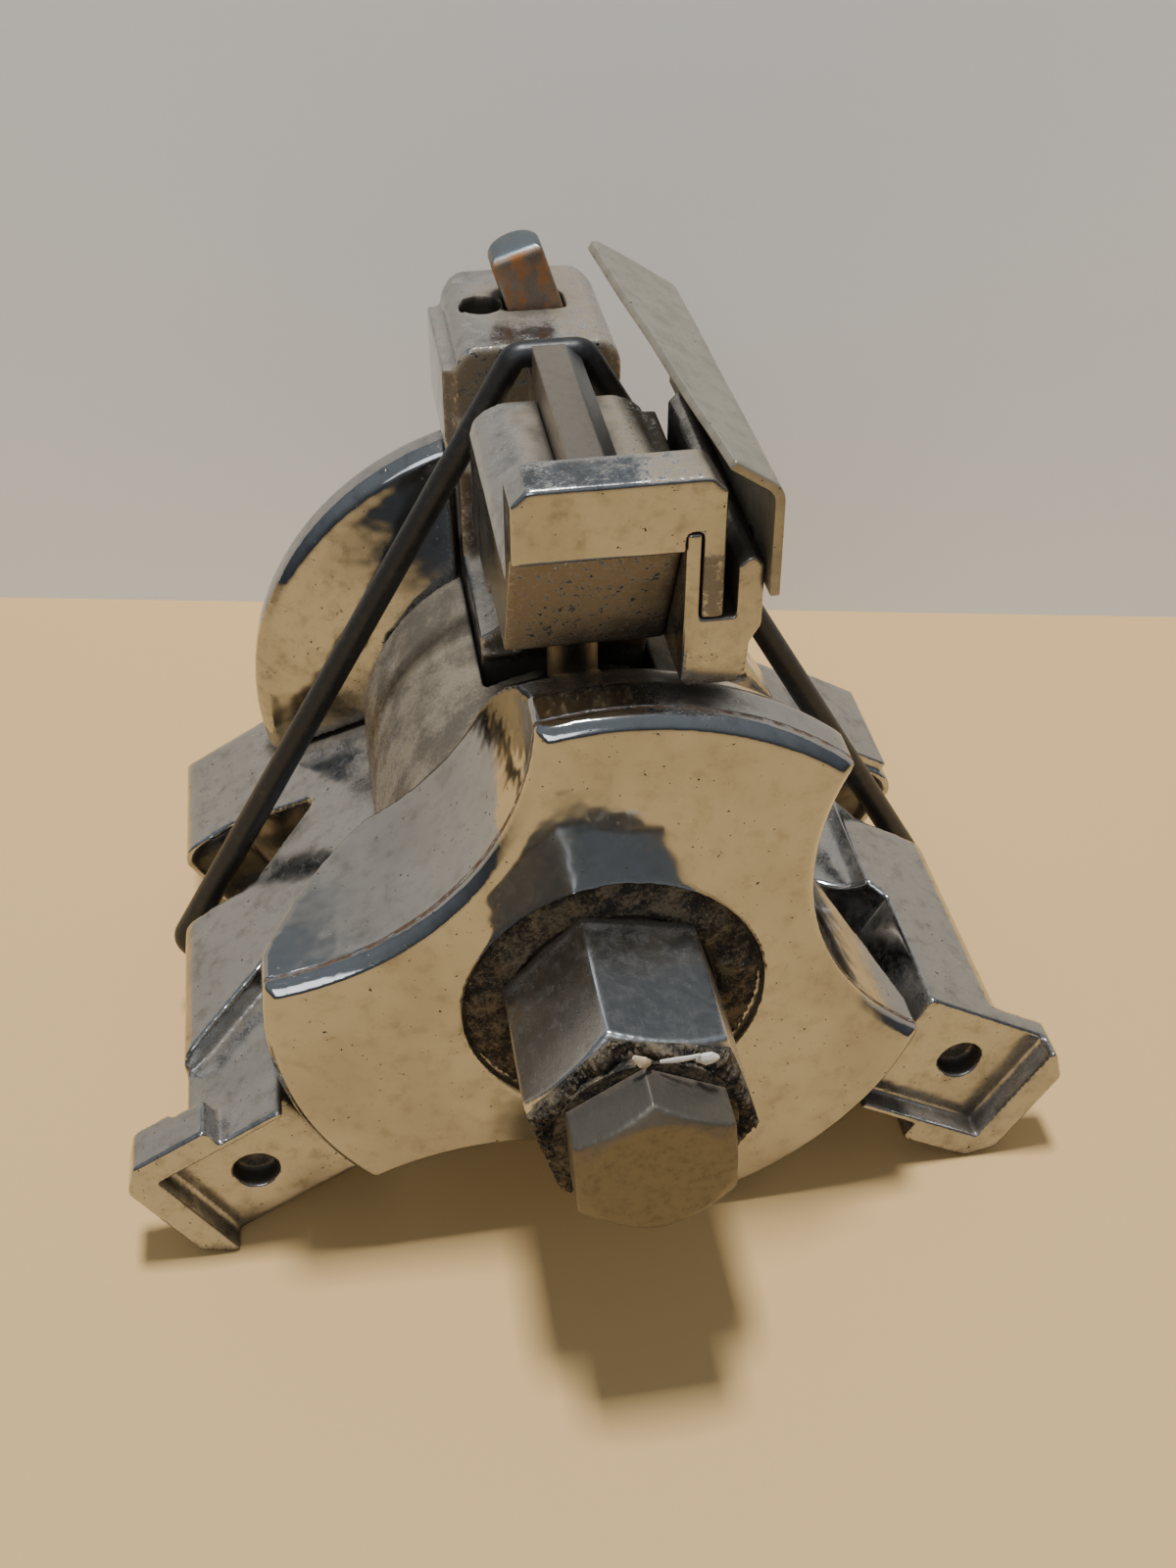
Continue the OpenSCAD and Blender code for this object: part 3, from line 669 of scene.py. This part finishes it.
def follower():
    """A D outline carried along the leaning axis; near the top it shrinks along a quarter
    circle of radius DOME, which makes the dome's edge."""
    half = PIN_WIDTH / 2
    back = np.radians(np.linspace(0, 180, 21))
    arc = np.stack([half * np.cos(back), half * np.sin(back)], -1)
    box = [(-half, 0.4), (-half, -PIN_FRONT), (half, -PIN_FRONT), (half, 0.4)]
    front_corners = round_corners(box, 0.35)[5:15]
    outline = np.concatenate([arc, front_corners])
    dome = np.radians(np.linspace(0, 90, 7)[1:-1])
    shaft = np.linspace(-PIN_LENGTH + 1, -1.0, 12)
    rise = np.concatenate([[-PIN_LENGTH, -PIN_LENGTH + 0.3], shaft, DOME * np.sin(dome) - DOME])
    inset = np.concatenate([[0.3, 0.0], 0 * shaft, DOME * (1 - np.cos(dome))])
    scale = (1 - inset / half)[:, None]
    u, v = outline[:, 0] * scale, outline[:, 1] * scale
    rise = rise[:, None] + ABOVE_BLOCK
    x = PIN_X + u * math.cos(LEAN) - rise * math.sin(LEAN)
    z = BLOCK_TOP + u * math.sin(LEAN) + rise * math.cos(LEAN)
    return surface("depth_follower_pin", in_frame(closed_ends(np.stack([x, PIN_Y + v, z], -1))))


pin = follower()
finished(pin, "follower", follower_finish)
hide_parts("depth_follower")
print("follower made")

# %% [markdown]
# The guide plate is spring sheet, bent once by hand. Its flange is narrow at the front and
# wide at the back. The outer face is a grid: one way along the bend's outline, the other way
# along the tool. Solidify then gives the sheet its thickness, inwards.

# %% Spring guide plate
SHEET = 0.85
SHEET_FRONT, SHEET_BACK = 1.2, 43.0
LEG_SIDE, LEG_LOW, LEG_TOP = 13.4, 43.5, 52.0
BEND_RADIUS, BEND_ANGLE = 2.4, math.radians(58)
FLANGE_RISE = 0.62
PITCH = math.radians(1.7)


def guide_sheet():
    """Outline: up the leg, a 58 degree arc, then out along the flange to a tip whose x falls
    from 9.2 to 4.6 mm on the way back, with its back corner cut round. A soft wave of 0.1 mm
    keeps the flange from being perfect, and the whole sheet slopes down towards its back by
    PITCH."""
    y = np.linspace(SHEET_FRONT, SHEET_BACK, 56)[:, None]
    leg = np.linspace(LEG_LOW, LEG_TOP, 12)
    turn = np.linspace(0, BEND_ANGLE, 10)[1:]
    x = np.concatenate([np.full(len(leg), LEG_SIDE), LEG_SIDE - BEND_RADIUS + BEND_RADIUS * np.cos(turn)])
    z = np.concatenate([leg, LEG_TOP + BEND_RADIUS * np.sin(turn)])
    tip = 9.2 - (y - SHEET_FRONT) / 40.8 * 4.6
    tip = tip + 0.8 * np.clip((y - 41.8) / 1.2, 0, 1) ** 2
    flange_x = x[-1] + (tip - x[-1]) * np.linspace(0, 1, 15)[1:]
    flange_z = z[-1] + FLANGE_RISE * (x[-1] - flange_x)
    x = np.concatenate([np.broadcast_to(x, (len(y), len(x))), flange_x], 1)
    z = np.concatenate([np.broadcast_to(z, (len(y), len(z))), flange_z], 1)
    wave = 0.10 * np.sin(y * 0.31 + 0.7) * np.sin(z * 0.8) * np.clip((z - LEG_TOP) / 3, 0, 1)
    dy, dz = y + 0 * x - SHEET_FRONT, z + wave - LEG_TOP
    points = np.stack([x, SHEET_FRONT + dy * math.cos(PITCH) + dz * math.sin(PITCH),
                       LEG_TOP - dy * math.sin(PITCH) + dz * math.cos(PITCH)], -1)
    return surface("guide_sheet", in_frame(points), around=False)


sheet = guide_sheet()
thick = sheet.modifiers.new("thickness", "SOLIDIFY")
thick.thickness = SHEET * MM
thick.offset = -1.0
edge = sheet.modifiers.new("edge", "BEVEL")
edge.width = 0.15 * MM
edge.segments = 2
finished(sheet, "plate", sheet_finish)
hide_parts("guide_plate")
normal_side = sum(face.normal.x for face in sheet.data.polygons) / len(sheet.data.polygons)
print(f"guide sheet made, faces look to x = {normal_side:.2f}")

# %% [markdown]
# Years of grease and dust have set into a crust round the hexes. Each crust is a ring with a
# low round section whose height and width wander with smooth noise, under fine random lumps.

# %% Crust round the hexes
COUNT = 260
SECTION = 18
crust_turn = np.linspace(0, 2 * np.pi, COUNT, endpoint=False)


def hexagon(across_flats, corner):
    """The radius of a hexagon's outline at each turn: half its width across flats over the
    cosine of the angle from the middle of the nearest flat."""
    return across_flats / 2 / np.cos(np.radians((np.degrees(crust_turn) - corner) % 60 - 30))


def crust_ring(name, inner, outer, floor_y, rise, seed):
    """Torus grid: section angle b and turn a. Radius is the middle of the band plus half its
    width times cos b, y is the floor less the height times sin b and less the random lumps,
    which lie on the front side only."""
    inner, outer = (np.broadcast_to(edge, (COUNT,))[:, None] for edge in (inner, outer))
    a = crust_turn[:, None]
    b = np.linspace(0, 2 * np.pi, SECTION, endpoint=False)[None]
    wide = (outer - inner) / 2 * (0.90 + 0.12 * swollen(COUNT, seed)[:, None])
    lumps = np.random.default_rng(seed + 1).normal(0, 0.10, (COUNT, SECTION)) * rise
    high = rise * np.clip(0.62 + 0.55 * swollen(COUNT, seed + 2, 16)[:, None], 0.12, 1.5)
    radius = (inner + outer) / 2 + wide * np.cos(b)
    y = floor_y - high * np.clip(np.sin(b), -0.06, 1) - lumps * (np.sin(b) > 0.1)
    points = np.stack([radius * np.sin(a), y, radius * np.cos(a)], -1)
    return surface(name, in_frame(points), along=True)


deep = crust_ring("crust_recess", 9.7, 14.5, floor_y=1.25, rise=1.0, seed=3)
finished(deep, "core", crust_finish)
near = crust_ring("crust_hex_end", 7.7, hexagon(19.3, corner=43), floor_y=-14.8, rise=1.35, seed=11)
finished(near, "core", crust_finish)
print("crusts made")

# %% [markdown]
# Three chips are caught in the crust above the small hex: a curled sliver of wood, and a
# flat pale one with a crumb at its end.

# %% Chips
def chip(name, path, widths, thickness, body, finish):
    """A thin strip: an ellipse, widths[i] wide and thickness high, carried along a given
    path and turned to stand square to it."""
    path = np.asarray(path, float)
    ahead = np.gradient(path, axis=0)
    ahead /= np.linalg.norm(ahead, axis=1, keepdims=True)
    across = np.cross(ahead, [0.25, -1.0, 0.3])
    across /= np.linalg.norm(across, axis=1, keepdims=True)
    up = np.cross(across, ahead)
    a = np.linspace(0, 2 * np.pi, 10, endpoint=False)[None, :, None]
    wide = np.asarray(widths, float)[:, None, None] / 2
    rows = path[:, None] + across[:, None] * np.cos(a) * wide + up[:, None] * np.sin(a) * thickness / 2
    finished(surface(name, in_frame(closed_ends(rows))), body, finish)


chip("chip_curled", [(0.0, -16.2, 8.6), (-0.2, -16.7, 9.1), (-0.7, -17.0, 9.7), (-1.5, -16.8, 10.3)],
     [0.5, 0.9, 1.1, 0.4], 0.35, "core", wood_finish)
chip("chip_flat", [(0.9, -16.5, 9.0), (2.2, -16.8, 9.3), (3.5, -16.9, 9.5), (4.3, -16.8, 9.6)],
     [0.35, 0.6, 0.5, 0.3], 0.25, "core", pale_finish)
chip("chip_crumb", [(4.2, -16.4, 8.7), (4.7, -16.8, 9.0), (5.3, -16.9, 9.2), (5.8, -16.6, 8.9)],
     [0.6, 1.3, 1.1, 0.5], 0.7, "core", pale_finish)
print("chips made")

# %% [markdown]
# Nodes whose CAD shape is already right keep it and get a finish. Most of them only show
# when the arms are out, or from behind.

# %% Finishes for the nodes that stay
KEPT = {
    "thrust_washer": crust_finish, "screw_collar": screw_black, "collar_pin": pin_finish,
    "rear_bush": bronze_finish, "flange_screws": screw_black, "expander_cone": pin_finish,
    "cone_key": pin_finish, "follower_screw": screw_black, "plate_rivets": holder_finish,
}
for arm in TURNS:
    KEPT["push_pin_" + arm] = pin_finish
    KEPT["guide_pin_" + arm] = pin_finish
    KEPT["clamp_screw_" + arm] = screw_black
for name, finish in KEPT.items():
    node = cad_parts[name]
    node.data.materials.clear()
    node.data.materials.append(finish)
print(len(KEPT), "nodes keep their CAD shape")

# %% [markdown]
# Chrome shows what stands round it. The floor is a plain warm board colour and a low pale
# wall closes the view behind. From its back the wall is clear, so it never hides the tool. A
# small soft light overhead puts the shadow under the tool and a bright line on the top edges,
# and a dim wide one fills the front.

# %% Floor, wall and light
def plain_sheet(name, corners_of, shade, roughness, one_way=False):
    """A plain rectangle; one that is one_way is clear when it is seen from its back."""
    mesh = bpy.data.meshes.new(name)
    mesh.from_pydata(corners_of, [], [(0, 1, 2, 3)])
    piece = bpy.data.objects.new(name, mesh)
    scene.collection.objects.link(piece)
    made = bpy.data.materials.new(name)
    made.use_nodes = True
    made.node_tree.nodes.clear()
    start = Wire(made.node_tree)
    look = start.node("ShaderNodeBsdfPrincipled", None, {"Base Color": shade, "Roughness": roughness})
    if one_way:
        back = start.node("ShaderNodeNewGeometry", None, None, "Backfacing")
        clear = start.node("ShaderNodeBsdfTransparent")
        look = back.node("ShaderNodeMixShader", None, {0: back, 1: look, 2: clear})
    start.node("ShaderNodeOutputMaterial", None, {"Surface": look})
    mesh.materials.append(made)


FLOOR_EDGE = 1.5
WALL_ENDS = ((-1.2, 0.333), (1.5, -0.195))
WALL_TOP = 0.14
floor_corners = [(x * FLOOR_EDGE, y * FLOOR_EDGE, 0) for x, y in ((-1, -1), (1, -1), (1, 1), (-1, 1))]
plain_sheet("floor", floor_corners, colour(0.64, 0.42, 0.175), 0.8)
wall_corners = [(*end, 0) for end in WALL_ENDS] + [(*end, WALL_TOP) for end in WALL_ENDS[::-1]]
plain_sheet("wall", wall_corners, colour(0.80, 0.84, 0.88), 0.9, one_way=True)


def soft_light(name, place, target, size, power, tint):
    lamp = bpy.data.lights.new(name, "AREA")
    lamp.shape = "RECTANGLE"
    lamp.size, lamp.size_y = size
    lamp.energy = power
    lamp.color = tint
    made = bpy.data.objects.new(name, lamp)
    scene.collection.objects.link(made)
    made.location = place
    made.rotation_euler = (Vector(target) - Vector(place)).to_track_quat("-Z", "Y").to_euler()


soft_light("overhead", (-0.02, 0.0, 0.75), target=(0, 0, 0), size=(0.12, 0.09), power=7.0,
           tint=(0.97, 0.98, 1.0))
soft_light("front_fill", (-0.25, -0.8, 0.65), target=(0, 0.05, 0.06), size=(0.5, 0.4), power=1.6,
           tint=(0.92, 0.96, 1.0))
world = bpy.data.worlds.new("room")
world.use_nodes = True
world.node_tree.nodes.clear()
sky = Wire(world.node_tree)
height = sky.node("ShaderNodeTexCoord", None, None, "Generated").part("Z")
shade = height.step(-0.1, 0.8).mix(colour(0.09, 0.10, 0.115), colour(0.46, 0.52, 0.58))
glow = sky.node("ShaderNodeBackground", None, {"Color": shade, "Strength": 0.55})
sky.node("ShaderNodeOutputWorld", None, {"Surface": glow})
scene.world = world
print("stage set")
